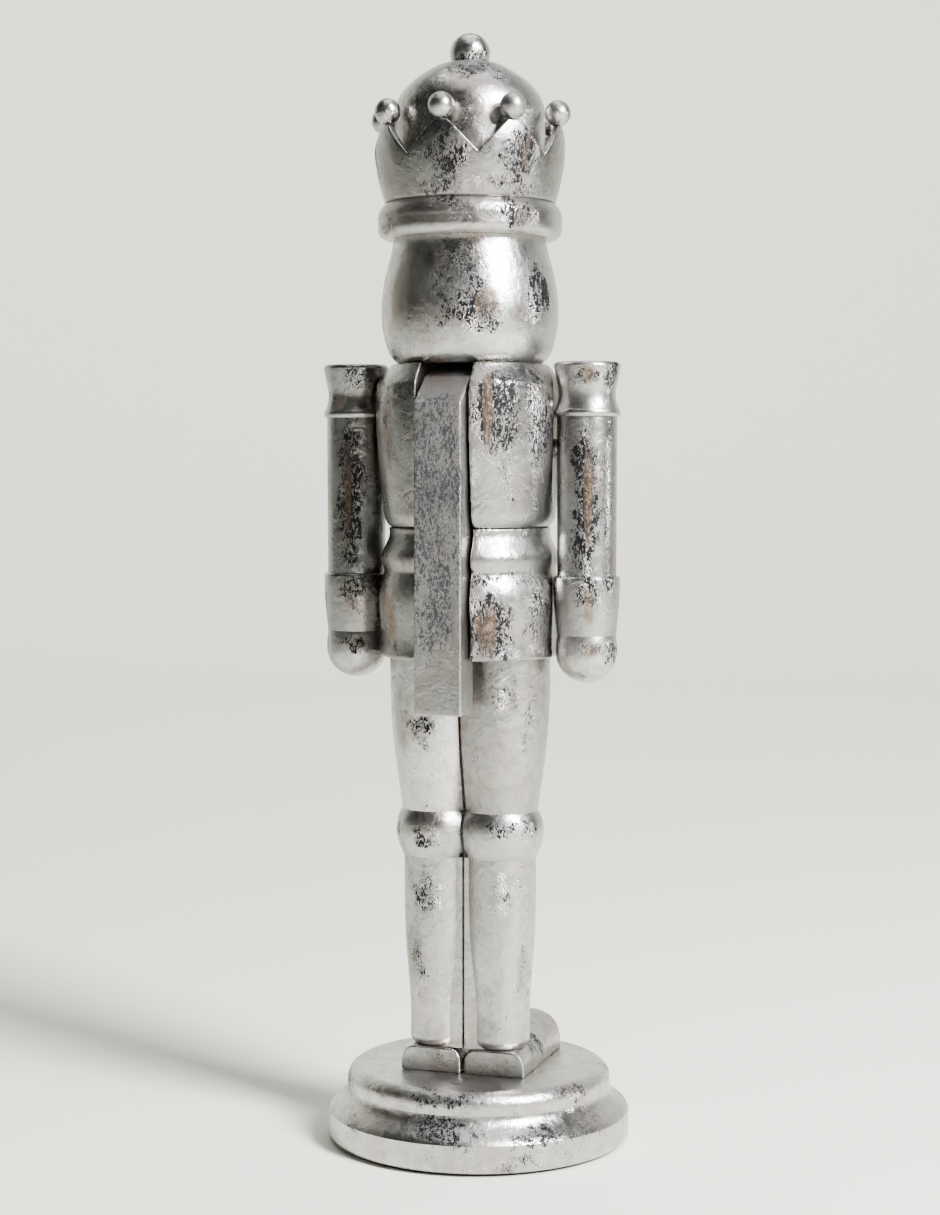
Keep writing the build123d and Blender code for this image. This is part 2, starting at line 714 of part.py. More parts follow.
BUCKLE_FRONT = BODY_Y - 32.0
BUCKLE_BACK = BODY_Y - 24.0
BUCKLE_W = 13.0
BUCKLE_Z = (199.0, 210.0)
BUCKLE_FRAME = 2.5       # width of the frame round the buckle's opening

with BuildPart() as belt_buckle:
    add(block(BUCKLE_W, BUCKLE_FRONT, BUCKLE_BACK, *BUCKLE_Z))
    add(block(
        BUCKLE_W - 2 * BUCKLE_FRAME, BUCKLE_FRONT - 1, BUCKLE_BACK + 1,
        BUCKLE_Z[0] + BUCKLE_FRAME, BUCKLE_Z[1] - BUCKLE_FRAME,
    ), mode=Mode.SUBTRACT)
    add(SKIRT_SOLID, mode=Mode.SUBTRACT)
keep(belt_buckle, "belt_buckle")
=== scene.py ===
# %% [markdown]
# A crowned nutcracker figure in distressed silver leaf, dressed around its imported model.
#
# The real figure is beech, turned on a lathe in many pieces, pegged and glued together, coated
# with gesso, toned with black and red bole, and covered with sheets of silver leaf that were
# rubbed through in places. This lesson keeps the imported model's places and sizes. It makes the
# crown's wall, the slotted body, the lever and the shoes again as finer surfaces, and builds the
# leaf as one procedural finish for everything that shows.

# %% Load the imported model
from math import cos, pi, radians, sin

import bpy
import bmesh
import numpy as np
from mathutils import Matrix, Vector


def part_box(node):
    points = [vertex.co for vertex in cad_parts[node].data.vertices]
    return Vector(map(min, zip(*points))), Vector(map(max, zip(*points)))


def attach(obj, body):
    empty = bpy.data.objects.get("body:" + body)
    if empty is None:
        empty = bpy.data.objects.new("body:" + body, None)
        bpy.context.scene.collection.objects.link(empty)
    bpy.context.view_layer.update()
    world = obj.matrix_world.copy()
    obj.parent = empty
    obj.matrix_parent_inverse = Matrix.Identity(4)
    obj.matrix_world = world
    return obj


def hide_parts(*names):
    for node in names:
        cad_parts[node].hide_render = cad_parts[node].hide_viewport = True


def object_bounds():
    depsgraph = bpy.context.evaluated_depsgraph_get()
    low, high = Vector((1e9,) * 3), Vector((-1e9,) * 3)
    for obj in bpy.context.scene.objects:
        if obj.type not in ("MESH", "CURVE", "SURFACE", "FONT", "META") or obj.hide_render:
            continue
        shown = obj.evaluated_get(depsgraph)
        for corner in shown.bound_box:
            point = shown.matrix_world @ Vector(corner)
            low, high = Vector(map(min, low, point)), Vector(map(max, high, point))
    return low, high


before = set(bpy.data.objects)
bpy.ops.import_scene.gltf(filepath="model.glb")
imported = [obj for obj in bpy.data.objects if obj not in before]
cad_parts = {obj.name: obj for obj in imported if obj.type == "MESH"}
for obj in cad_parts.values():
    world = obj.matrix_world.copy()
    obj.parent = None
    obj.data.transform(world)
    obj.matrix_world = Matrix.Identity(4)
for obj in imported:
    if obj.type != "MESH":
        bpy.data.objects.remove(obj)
cad_low, cad_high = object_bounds()
print("packed model:", len(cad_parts), "nodes,", round(cad_high.z * 1000), "mm tall")

# %% [markdown]
# Places. The figure stands a little behind the plinth's centre, so its own axis is read from
# the head, which is round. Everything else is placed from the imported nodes' boxes.

# %% The figure's own axis
head_low, head_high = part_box("head")
AXIS_X = 0.0
AXIS_Y = (head_low.y + head_high.y) / 2
print("figure's axis stands", round(AXIS_Y * 1000, 1), "mm behind the plinth's centre")

# %% [markdown]
# The camera is at chest height, behind the figure and a little to its right-hand side, with a
# long lens so that the figure keeps its proportions. It looks down by a few degrees.

# %% Camera
CAMERA_TURN = radians(17.8)
CAMERA_DISTANCE = 0.8262
CAMERA_HEIGHT = 0.2363
CAMERA_TILT = radians(3.46)
LONG_SIDE_OF_SENSOR = 36.0
LENS = 71.44

camera_data = bpy.data.cameras.new("portrait_camera")
camera_data.sensor_width = LONG_SIDE_OF_SENSOR
camera_data.lens = LENS
camera = bpy.data.objects.new("portrait_camera", camera_data)
camera.location = (
    AXIS_X - sin(CAMERA_TURN) * CAMERA_DISTANCE,
    AXIS_Y + cos(CAMERA_TURN) * CAMERA_DISTANCE,
    CAMERA_HEIGHT,
)
camera.rotation_euler = (pi / 2 - CAMERA_TILT, 0, pi + CAMERA_TURN)
bpy.context.scene.collection.objects.link(camera)
bpy.context.scene.camera = camera
print("camera stands", round(CAMERA_DISTANCE, 2), "m away")

# %% [markdown]
# The stage is a pale paper bowl: flat under the figure and curving up far away, so every view
# has the same quiet background. Silver has hardly a colour of its own: it shows whatever stands
# around it. So a dark curtain hangs in a wide arc behind the camera, as a photographer's flag
# does: it isn't seen itself, but the leaf mirrors it, and that gives every round piece its dark
# middle, while the pale floor brightens what looks down and the far paper lights the rims. A
# large soft light at the camera's right makes the tall highlights and throws the shadow left.

# %% The stage as a surface of revolution
BOWL_FLAT = 1.7
BOWL_EDGE = 3.2
BOWL_RISE = 3.0


def grid_faces(rows, columns, wrap):
    """Quads of a grid of points: each joins two neighbours in a row and the two above them.

    With wrap the last column joins the first again.
    """
    row = np.arange(rows - 1)[:, None]
    column = np.arange(columns if wrap else columns - 1)[None, :]
    right = (column + 1) % columns
    a = row * columns + column
    b = row * columns + right
    return np.stack([a, b, b + columns, a + columns], axis=-1).reshape(-1, 4)


def mesh_object(name, points, faces):
    """Makes a smooth-shaded object whose points are already in their final place."""
    mesh = bpy.data.meshes.new(name)
    mesh.from_pydata(points.reshape(-1, 3).tolist(), [], faces.tolist())
    mesh.update()
    mesh.shade_smooth()
    thing = bpy.data.objects.new(name, mesh)
    bpy.context.scene.collection.objects.link(thing)
    return thing


turn = np.linspace(0, 2 * pi, 96, endpoint=False)
climb = np.linspace(0, pi / 2, 24)[1:]
flat_radius = [0.001, 0.6, BOWL_FLAT]
radius = np.concatenate([flat_radius, BOWL_FLAT + (BOWL_EDGE - BOWL_FLAT) * np.sin(climb)])
height = np.concatenate([[0, 0, 0], BOWL_RISE * (1 - np.cos(climb))])
bowl_points = np.stack([
    radius[:, None] * np.cos(turn), radius[:, None] * np.sin(turn), height[:, None] + 0 * turn,
], axis=-1)
backdrop = mesh_object("paper_bowl", bowl_points, grid_faces(len(radius), len(turn), wrap=True))
print("paper bowl:", len(backdrop.data.polygons), "faces")

# %% The paper, and the dark curtain behind the camera
CURTAIN_REACH = 1.45
CURTAIN_SWEEP = radians(112)
CURTAIN_FOOT = 0.14
CURTAIN_TOP = 2.3
CURTAIN_ROWS, CURTAIN_COLUMNS = 6, 60
towards_camera = np.array([-sin(CAMERA_TURN), cos(CAMERA_TURN), 0.0])
camera_right = np.array([-cos(CAMERA_TURN), -sin(CAMERA_TURN), 0.0])


def matte(name, colour):
    """A chalky material of one colour, for the stage only."""
    material = bpy.data.materials.new(name)
    material.use_nodes = True
    shader = material.node_tree.nodes["Principled BSDF"]
    shader.inputs["Base Color"].default_value = (*colour, 1)
    shader.inputs["Roughness"].default_value = 0.95
    shader.inputs["Specular IOR Level"].default_value = 0.1
    return material


backdrop.data.materials.append(matte("pale_paper", (0.86, 0.865, 0.80)))
sweep = np.linspace(-CURTAIN_SWEEP, CURTAIN_SWEEP, CURTAIN_COLUMNS)[None, :, None]
hang = np.linspace(CURTAIN_FOOT, CURTAIN_TOP, CURTAIN_ROWS)[:, None, None]
around = CURTAIN_REACH * (np.cos(sweep) * towards_camera + np.sin(sweep) * camera_right)
curtain_points = around + hang * np.array([0, 0, 1.0])
curtain = mesh_object("dark_curtain", curtain_points, grid_faces(CURTAIN_ROWS, CURTAIN_COLUMNS, wrap=False))
curtain.data.materials.append(matte("black_felt_curtain", (0.03, 0.03, 0.03)))
curtain.visible_camera = False
curtain.visible_shadow = False
print("dark curtain:", round(CURTAIN_TOP - CURTAIN_FOOT, 2), "m tall, unseen by the camera")

# %% Lights
AIM = Vector((AXIS_X, AXIS_Y, cad_high.z * 0.55))


def soft_light(name, angle_to_right, distance, height, width, tall, watts, aim=AIM):
    """A rectangular light, placed by its angle to the right of the camera as seen from the figure."""
    data = bpy.data.lights.new(name, "AREA")
    data.shape = "RECTANGLE"
    data.size = width
    data.size_y = tall
    data.energy = watts
    light = bpy.data.objects.new(name, data)
    away = cos(radians(angle_to_right)) * towards_camera + sin(radians(angle_to_right)) * camera_right
    light.location = (AXIS_X + away[0] * distance, AXIS_Y + away[1] * distance, height)
    light.rotation_mode = "QUATERNION"
    light.rotation_quaternion = (aim - light.location).to_track_quat("-Z", "Y")
    light.visible_camera = False
    bpy.context.scene.collection.objects.link(light)
    return light


FAR = 3.0
far_paper = Vector((AXIS_X - towards_camera[0] * FAR, AXIS_Y - towards_camera[1] * FAR, 1.0))
window = soft_light("window_light", 44, distance=1.25, height=1.05, width=0.34, tall=0.75, watts=66)
soft_light("ceiling_light", 20, distance=0.2, height=2.1, width=1.3, tall=1.3, watts=7)
soft_light("paper_light", 180, distance=0.9, height=2.4, width=1.6, tall=0.8, watts=50, aim=far_paper)
print("window light stands", round((window.location - AIM).length, 2), "m from the figure's middle")

bpy.context.scene.view_settings.look = "AgX - Medium High Contrast"
world = bpy.data.worlds.new("studio_air")
bpy.context.scene.world = world
world.use_nodes = True
air = world.node_tree.nodes["Background"]
air.inputs["Color"].default_value = (0.94, 0.96, 0.97, 1)
air.inputs["Strength"].default_value = 0.22

# %% [markdown]
# Silver leaf. The real finish is built in layers: black bole over red-brown bole over gesso, then
# thin silver, burnished until it shines softly. Where hands rubbed it, and where the gesso
# crazed, the bole shows: crisp black chips, hair-fine squiggles, and a stripe of brown where even
# the black is gone. Each piece is worn in its own few places, so a finish takes a list of rubbed
# patches, soft ellipsoids with ragged edges, and everything inside them follows from noise.

# %% Small helpers for node trees


def new_material(name):
    """A new material, with its tree, its shader and the object's own coordinates."""
    material = bpy.data.materials.new(name)
    material.use_nodes = True
    tree = material.node_tree
    place = tree.nodes.new("ShaderNodeTexCoord").outputs["Object"]
    return material, tree, tree.nodes["Principled BSDF"], place


def stretched(tree, place, factors):
    """The same coordinates, scaled by their own factor along each axis."""
    made = tree.nodes.new("ShaderNodeMapping")
    made.inputs["Scale"].default_value = factors
    tree.links.new(place, made.inputs["Vector"])
    return made.outputs["Vector"]


def math_of(tree, operation, a, b=None):
    """One arithmetic step between sockets or plain numbers."""
    step = tree.nodes.new("ShaderNodeMath")
    step.operation = operation
    for socket, value in zip(step.inputs, (a, b)):
        if value is None:
            continue
        if isinstance(value, (int, float)):
            socket.default_value = value
        else:
            tree.links.new(value, socket)
    return step.outputs[0]


def vector_of(tree, operation, a, b=None):
    """One vector step between sockets or plain triples."""
    step = tree.nodes.new("ShaderNodeVectorMath")
    step.operation = operation
    for socket, value in zip(step.inputs, (a, b)):
        if value is None:
            continue
        if isinstance(value, tuple):
            socket.default_value = value
        else:
            tree.links.new(value, socket)
    return step.outputs["Value"] if operation == "LENGTH" else step.outputs["Vector"]


def noise_of(tree, place, scale, detail, roughness, distortion=0.0, output="Fac"):
    """Noise around one half, mostly between 0.3 and 0.7, with features about 1/scale metres across."""
    made = tree.nodes.new("ShaderNodeTexNoise")
    made.inputs["Scale"].default_value = scale
    made.inputs["Detail"].default_value = detail
    made.inputs["Roughness"].default_value = roughness
    made.inputs["Distortion"].default_value = distortion
    tree.links.new(place, made.inputs["Vector"])
    return made.outputs[output]


def between(tree, value, low, high, out_low=0.0, out_high=1.0):
    """Smooth step from out_low at low to out_high at high."""
    made = tree.nodes.new("ShaderNodeMapRange")
    made.interpolation_type = "SMOOTHSTEP"
    tree.links.new(value, made.inputs["Value"])
    numbers = {"From Min": low, "From Max": high, "To Min": out_low, "To Max": out_high}
    for name, number in numbers.items():
        made.inputs[name].default_value = number
    return made.outputs["Result"]


def mixed(tree, amount, first, second):
    """Colour mix; first and second are sockets or colours."""
    made = tree.nodes.new("ShaderNodeMix")
    made.data_type = "RGBA"
    tree.links.new(amount, made.inputs["Factor"])
    for socket, value in ((made.inputs["A"], first), (made.inputs["B"], second)):
        if isinstance(value, tuple):
            socket.default_value = (*value, 1)
        else:
            tree.links.new(value, socket)
    return made.outputs["Result"]


def patches_of(tree, place, patches):
    """The strongest of several soft ellipsoids at each point, or zero where there is none.

    A patch is (centre, half sizes, strength): full strength inside the inner part of the
    ellipsoid, fading to nothing at its edge.
    """
    strongest = 0.0
    for centre, half_sizes, strength in patches:
        offset = vector_of(tree, "SUBTRACT", place, tuple(centre))
        reach = vector_of(tree, "LENGTH", vector_of(tree, "DIVIDE", offset, tuple(half_sizes)))
        here = between(tree, reach, 0.45, 1.0, strength, 0.0)
        strongest = math_of(tree, "MAXIMUM", strongest, here)
    return strongest


def level_lines(tree, noise, half_width):
    """One where the noise is within half_width of its middle value, which makes curling lines."""
    off_middle = math_of(tree, "ABSOLUTE", math_of(tree, "SUBTRACT", noise, 0.5))
    return math_of(tree, "LESS_THAN", off_middle, half_width)


def add_relief(tree, shader, height, strength, distance):
    """Bumps on the shader from a height around one half."""
    bump = tree.nodes.new("ShaderNodeBump")
    bump.inputs["Strength"].default_value = strength
    bump.inputs["Distance"].default_value = distance
    tree.links.new(height, bump.inputs["Height"])
    tree.links.new(bump.outputs["Normal"], shader.inputs["Normal"])


# %% The leaf's colours and grains
SILVER = (0.74, 0.735, 0.72)
ROSY_SILVER = (0.70, 0.62, 0.585)
DULL_SILVER = (0.40, 0.395, 0.385)
BLACK_BOLE = (0.012, 0.011, 0.012)
GREY_BOLE = (0.050, 0.052, 0.057)
RED_BOLE = (0.075, 0.045, 0.035)
TAN_BOLE = (0.215, 0.135, 0.08)

# Noise scales, in features per metre.
SHEET_GRAIN = 36
CLOUD_GRAIN = 48
ROSE_GRAIN = 75
PATCH_GRAIN = 115
DRIFT_GRAIN = 130
SCUFF_GRAIN = 240
WRINKLE_GRAIN = 260
STREAK_GRAIN = 420
HAIR_GRAIN = 560
CURL_GRAIN = 600
TEAR_GRAIN = 700
FLAKE_GRAIN = 800

DRIFT_REACH = (0.014, 0.014, 0.022)
WRINKLE_DEPTH = 0.0007
TALL = (1, 1, 0.45)
STREAKED = (1, 1, 0.12)
print("flakes of bole are about", round(1000 / FLAKE_GRAIN, 2), "mm across")

# %% The layers of the leaf


def black_marks(tree, place, tall, wear):
    """Black bole: chips, torn squiggles and fainter hairs, each wider where there is more wear."""
    flaky = noise_of(tree, tall, FLAKE_GRAIN, 4, 0.65, 1.2)
    chips = between(tree, math_of(tree, "ADD", flaky, math_of(tree, "MULTIPLY", wear, 0.16)), 0.69, 0.70)
    curl = noise_of(tree, tall, CURL_GRAIN, 3, 0.6, 1.5)
    squiggles = level_lines(tree, curl, between(tree, wear, 0.15, 1.1, 0.0, 0.056))
    torn = between(tree, noise_of(tree, place, TEAR_GRAIN, 2, 0.5), 0.39, 0.43)
    squiggles = math_of(tree, "MULTIPLY", squiggles, torn)
    hair = noise_of(tree, place, HAIR_GRAIN, 1, 0.5, 1.8)
    hairs = level_lines(tree, hair, between(tree, wear, 0.0, 0.7, 0.0, 0.030))
    black = math_of(tree, "MAXIMUM", chips, squiggles)
    return math_of(tree, "MAXIMUM", black, math_of(tree, "MULTIPLY", hairs, 0.6))


def brown_stripes(tree, place, cloud, warmed):
    """How much brown bole shows at each point, and the upright streaks that colour it."""
    streaky = noise_of(tree, stretched(tree, place, STREAKED), STREAK_GRAIN, 3, 0.6)
    warmth = patches_of(tree, place, warmed) if warmed else between(tree, cloud, 0.60, 0.75, 0.0, 0.12)
    warmth = math_of(tree, "MULTIPLY", warmth, between(tree, streaky, 0.30, 0.55, 0.35, 1.0))
    return math_of(tree, "MINIMUM", warmth, 1.0), streaky


def silver_tones(tree, tall, ragged, scuffs, tone):
    """Colour of the whole leaf: rosy drifts, sheets of slightly different tone, dull scuffs."""
    silver, rosy_silver, dull_silver = (
        tuple(part * tone for part in colour) for colour in (SILVER, ROSY_SILVER, DULL_SILVER)
    )
    rosy = between(tree, noise_of(tree, tall, ROSE_GRAIN, 3, 0.6, 0.5), 0.47, 0.66, 0.0, 0.75)
    sheets = tree.nodes.new("ShaderNodeTexVoronoi")
    sheets.distance = "CHEBYCHEV"
    sheets.inputs["Scale"].default_value = SHEET_GRAIN
    sheets.inputs["Randomness"].default_value = 0.8
    tree.links.new(ragged, sheets.inputs["Vector"])
    one_channel = tree.nodes.new("ShaderNodeSeparateColor")
    tree.links.new(sheets.outputs["Color"], one_channel.inputs[0])
    sheet_tone = math_of(tree, "MULTIPLY", one_channel.outputs[0], 0.25)
    leaf = mixed(tree, rosy, silver, rosy_silver)
    leaf = mixed(tree, sheet_tone, leaf, dull_silver)
    return mixed(tree, scuffs, leaf, dull_silver)


# %% The silver leaf itself


def leaf_finish(name, rubbed=(), warmed=(), tone=1.0, worn_all_over=0.0, roughness=0.28, ink=BLACK_BOLE):
    """Silver leaf on bole, with rubbed patches (black chips and squiggles) and warmed ones (brown)."""
    material, tree, shader, place = new_material(name)
    shader.inputs["Specular IOR Level"].default_value = 0.2
    tall = stretched(tree, place, TALL)
    drift = noise_of(tree, place, DRIFT_GRAIN, 4, 0.65, output="Color")
    drift = vector_of(tree, "MULTIPLY", vector_of(tree, "SUBTRACT", drift, (0.5, 0.5, 0.5)), DRIFT_REACH)
    ragged = vector_of(tree, "ADD", place, drift)

    cloud = noise_of(tree, place, CLOUD_GRAIN, 3, 0.55)
    patchy = noise_of(tree, tall, PATCH_GRAIN, 4, 0.6, 0.3)
    wear = math_of(tree, "ADD", patches_of(tree, ragged, rubbed), worn_all_over)
    wear = math_of(tree, "ADD", wear, between(tree, patchy, 0.35, 0.65, -0.28, 0.22))
    warmth, streaky = brown_stripes(tree, place, cloud, warmed)
    black = black_marks(tree, place, tall, wear)
    black = math_of(tree, "MULTIPLY", black, between(tree, warmth, 0.45, 0.85, 1.0, 0.7))
    scuffs = between(tree, noise_of(tree, place, SCUFF_GRAIN, 6, 0.7, 0.8), 0.46, 0.62, 0.0, 0.35)

    leaf = silver_tones(tree, tall, ragged, scuffs, tone)
    bole = mixed(tree, between(tree, streaky, 0.40, 0.62), RED_BOLE, TAN_BOLE)
    leaf = mixed(tree, math_of(tree, "MULTIPLY", warmth, 0.84), leaf, bole)
    tree.links.new(mixed(tree, black, leaf, ink), shader.inputs["Base Color"])

    not_metal = math_of(tree, "MAXIMUM", black, math_of(tree, "MULTIPLY", warmth, 0.5))
    tree.links.new(math_of(tree, "SUBTRACT", 1.0, not_metal), shader.inputs["Metallic"])
    rough = between(tree, cloud, 0.35, 0.65, roughness - 0.04, roughness + 0.08)
    rough = math_of(tree, "ADD", rough, math_of(tree, "MULTIPLY", black, 0.2))
    rough = math_of(tree, "ADD", rough, math_of(tree, "MULTIPLY", scuffs, 0.16))
    tree.links.new(rough, shader.inputs["Roughness"])

    wrinkles = noise_of(tree, place, WRINKLE_GRAIN, 6, 0.62, 0.9)
    relief = math_of(tree, "SUBTRACT", wrinkles, math_of(tree, "MULTIPLY", black, 0.22))
    add_relief(tree, shader, relief, 0.4, WRINKLE_DEPTH)
    return material


# %% [markdown]
# Where each piece is rubbed. A patch is placed by its angle round the piece, counted from the
# figure's back towards its right-hand side, and by its share of the piece's height. Most patches
# on the body and limbs are taller than wide, because the hand rubs along the piece, and those on
# rings and rims lie along them.

# %% A patch placed round a piece
MM = 0.001


def patch(piece, angle, share, half_width, half_height, strength):
    """A rubbed ellipsoid on the piece's side at this angle and share of its height; half sizes in mm."""
    low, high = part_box(piece)
    reach_x, reach_y = (high.x - low.x) / 2, (high.y - low.y) / 2
    centre = (
        (low.x + high.x) / 2 - sin(radians(angle)) * reach_x,
        (low.y + high.y) / 2 + cos(radians(angle)) * reach_y,
        low.z + share * (high.z - low.z),
    )
    return centre, (half_width * MM, half_width * MM, half_height * MM), strength


def paint(piece, finish):
    """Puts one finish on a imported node."""
    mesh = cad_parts[piece].data
    mesh.materials.clear()
    mesh.materials.append(finish)


# A patch: angle in degrees, share of the height, half width and half height in mm, strength.
RUBBED = {
    "head": [
        (68, 0.60, 7, 15, 1.5), (8, 0.62, 15, 17, 0.80), (18, 0.40, 15, 7, 1.15),
        (150, 0.6, 10, 12, 0.6), (-120, 0.5, 12, 14, 0.8), (-60, 0.3, 6, 12, 0.3),
    ],
    "crown_wall": [
        (4, 0.55, 10, 11, 1.05), (50, 0.62, 10, 13, 1.05), (25, 0.15, 40, 4, 0.55),
        (120, 0.5, 10, 12, 0.8), (-70, 0.5, 10, 12, 0.8), (190, 0.6, 12, 12, 0.7),
    ],
    "crown_dome": [
        (20, 0.95, 22, 8, 1.0), (60, 0.5, 8, 9, 0.7), (-100, 0.6, 12, 8, 0.8), (180, 0.5, 12, 9, 0.7),
    ],
    "crown_band": [
        (48, 0.6, 11, 6, 1.0), (5, 0.85, 10, 4, 0.7), (-45, 0.3, 8, 4, 0.4), (130, 0.5, 11, 7, 0.9),
        (-110, 0.5, 12, 7, 0.8), (190, 0.5, 8, 7, 0.7),
    ],
    "chest": [
        (34, 0.72, 12, 19, 1.05), (64, 0.66, 9, 24, 0.85), (-38, 0.6, 4, 16, 0.45),
        (30, 0.40, 14, 8, 0.3), (130, 0.6, 14, 18, 0.8), (-110, 0.6, 12, 18, 0.8),
        (190, 0.35, 12, 14, 0.6),
    ],
    "coat_skirt": [
        (30, 0.24, 12, 15, 1.1), (62, 0.3, 10, 16, 0.85), (40, 0.63, 22, 2.5, 0.8),
        (-40, 0.3, 5, 12, 0.5), (140, 0.4, 12, 12, 0.8), (-120, 0.4, 12, 12, 0.8),
        (200, 0.3, 10, 12, 0.7),
    ],
    "right_sleeve": [
        (14, 0.50, 6.5, 35, 1.15), (64, 0.55, 5, 30, 0.7), (160, 0.5, 6, 26, 0.9),
        (-90, 0.4, 5, 22, 0.6),
    ],
    "left_sleeve": [
        (4, 0.52, 6.5, 35, 1.1), (70, 0.3, 4, 18, 0.6), (170, 0.5, 6, 26, 0.9), (-80, 0.5, 5, 22, 0.7),
    ],
    "right_cuff": [
        (22, 0.75, 6, 9, 0.8), (60, 0.9, 5, 5, 0.8), (180, 0.5, 7, 9, 0.8), (-90, 0.8, 6, 6, 0.6),
    ],
    "left_cuff": [(10, 0.75, 7, 8, 0.75), (-60, 0.6, 5, 6, 0.5), (180, 0.6, 7, 9, 0.8)],
    "right_hand": [(24, 0.78, 7, 4, 0.95), (70, 0.7, 5, 5, 0.8), (190, 0.6, 7, 6, 0.8)],
    "left_hand": [(10, 0.80, 7, 4, 0.9), (-60, 0.6, 5, 5, 0.5), (160, 0.6, 7, 6, 0.8)],
    "right_shoulder_cap": [(10, 0.75, 6, 6, 0.9), (64, 0.75, 5, 6, 1.0), (160, 0.5, 7, 8, 0.8)],
    "left_shoulder_cap": [(14, 0.85, 7, 4, 0.8), (-40, 0.3, 5, 5, 0.5), (170, 0.5, 7, 8, 0.8)],
    "right_thigh": [
        (14, 0.78, 7, 10, 0.75), (50, 0.55, 4, 14, 0.4), (170, 0.5, 8, 14, 0.8), (100, 0.7, 5, 10, 0.5),
    ],
    "left_thigh": [
        (4, 0.55, 7, 9, 0.75), (-50, 0.75, 5, 12, 0.5), (180, 0.6, 8, 14, 0.8), (-110, 0.4, 5, 12, 0.6),
    ],
    "right_knee_roll": [(10, 0.75, 8, 4, 1.0), (60, 0.7, 5, 4, 0.8), (180, 0.5, 8, 5, 0.9)],
    "left_knee_roll": [(6, 0.55, 7, 3.5, 1.0), (-60, 0.6, 5, 4, 0.5), (180, 0.6, 8, 5, 0.9)],
    "right_boot": [
        (22, 0.86, 7, 10, 0.55), (50, 0.4, 4, 14, 0.3), (180, 0.7, 8, 12, 0.7), (100, 0.3, 5, 12, 0.5),
    ],
    "left_boot": [
        (4, 0.80, 6, 12, 0.6), (-20, 0.45, 4, 12, 0.4), (180, 0.6, 8, 12, 0.7), (-100, 0.3, 5, 12, 0.5),
    ],
    "right_shoe": [(70, 0.7, 9, 9, 0.9), (150, 0.6, 10, 7, 1.0), (30, 0.5, 5, 5, 0.5)],
    "left_shoe": [(-70, 0.7, 8, 8, 0.7), (190, 0.6, 10, 7, 1.0), (0, 0.5, 5, 5, 0.5)],
    "base_step": [
        (0, 0.66, 18, 3.5, 1.05), (60, 0.6, 12, 3.5, 1.0), (110, 0.5, 14, 5, 0.8),
        (-60, 0.6, 10, 4, 0.6), (180, 0.6, 20, 5, 0.9), (-120, 0.5, 12, 5, 0.8),
    ],
    "base_plinth": [
        (4, 0.74, 18, 4.5, 1.05), (40, 0.62, 16, 3, 0.85), (66, 0.8, 12, 6, 0.75),
        (-40, 0.6, 8, 6, 0.5), (120, 0.6, 16, 7, 0.8), (190, 0.7, 24, 6, 0.8), (-110, 0.6, 14, 7, 0.8),
        (30, 0.2, 16, 3, 0.5),
    ],
    "crown_finial": [(20, 0.1, 8, 4, 0.9), (160, 0.5, 4, 4, 0.6)],
}

# Brown stripes, in the same terms.
WARMED = {
    "head": [
        (28, 0.44, 5.5, 8, 1.1), (-35, 0.55, 6, 15, 0.45), (12, 0.36, 14, 5, 0.5),
        (-120, 0.5, 5, 12, 0.8),
    ],
    "crown_wall": [(54, 0.6, 4, 12, 0.7), (-52, 0.4, 8, 12, 0.35), (120, 0.5, 4, 12, 0.8)],
    "crown_dome": [(64, 0.35, 6, 7, 0.8), (-40, 0.5, 6, 10, 0.4)],
    "crown_band": [(50, 0.5, 4, 6, 0.6), (-50, 0.4, 8, 5, 0.35)],
    "chest": [
        (27.5, 0.72, 3.0, 17, 1.3), (-42, 0.6, 5, 16, 0.7), (130, 0.6, 4, 18, 0.9),
        (-110, 0.6, 4, 18, 0.8),
    ],
    "coat_skirt": [
        (27, 0.22, 6.5, 13, 1.0), (-46, 0.3, 8, 13, 0.7), (140, 0.4, 5, 12, 0.8),
        (-120, 0.4, 4, 12, 0.8),
    ],
    "right_sleeve": [(17, 0.55, 2.2, 27, 1.3), (160, 0.5, 2.2, 24, 1.0)],
    "left_sleeve": [(4, 0.55, 2.0, 24, 0.9), (170, 0.5, 2.2, 24, 1.0)],
    "right_cuff": [(20, 0.5, 3, 9, 0.8)],
    "left_cuff": [(10, 0.6, 3, 7, 0.4)],
    "right_hand": [(22, 0.72, 4.5, 3, 0.9)],
    "left_hand": [(10, 0.75, 4, 3, 0.4)],
    "right_shoulder_cap": [(18, 0.75, 3, 5, 0.9)],
    "left_shoulder_cap": [(-20, 0.3, 5, 4, 0.6)],
    "right_thigh": [(30, 0.75, 4, 8, 0.3), (-30, 0.8, 5, 8, 0.45)],
    "left_thigh": [(-30, 0.6, 6, 18, 0.45), (190, 0.5, 3, 12, 0.8)],
    "right_boot": [(60, 0.4, 5, 14, 0.3), (180, 0.7, 3, 12, 0.8)],
    "left_boot": [(-30, 0.5, 5, 14, 0.35), (180, 0.6, 3, 12, 0.8)],
}

# How bright each piece's leaf is: the coat, the sleeves and the crown's wall are toned darkest.
TONE = {
    "crown_dome": 0.72, "crown_wall": 0.54, "crown_band": 0.74, "head": 0.74, "chest": 0.57,
    "coat_skirt": 0.60, "right_shoulder_cap": 0.66, "left_shoulder_cap": 0.58, "right_sleeve": 0.56,
    "left_sleeve": 0.50, "right_cuff": 0.64, "left_cuff": 0.58, "right_hand": 0.72, "left_hand": 0.66,
    "right_thigh": 0.62, "left_thigh": 0.92, "right_knee_roll": 0.76, "left_knee_roll": 0.72,
    "right_boot": 0.78, "left_boot": 0.76, "right_shoe": 0.72, "left_shoe": 0.72,
    "base_step": 0.80, "base_plinth": 0.80,
}
USUAL_TONE = 0.85


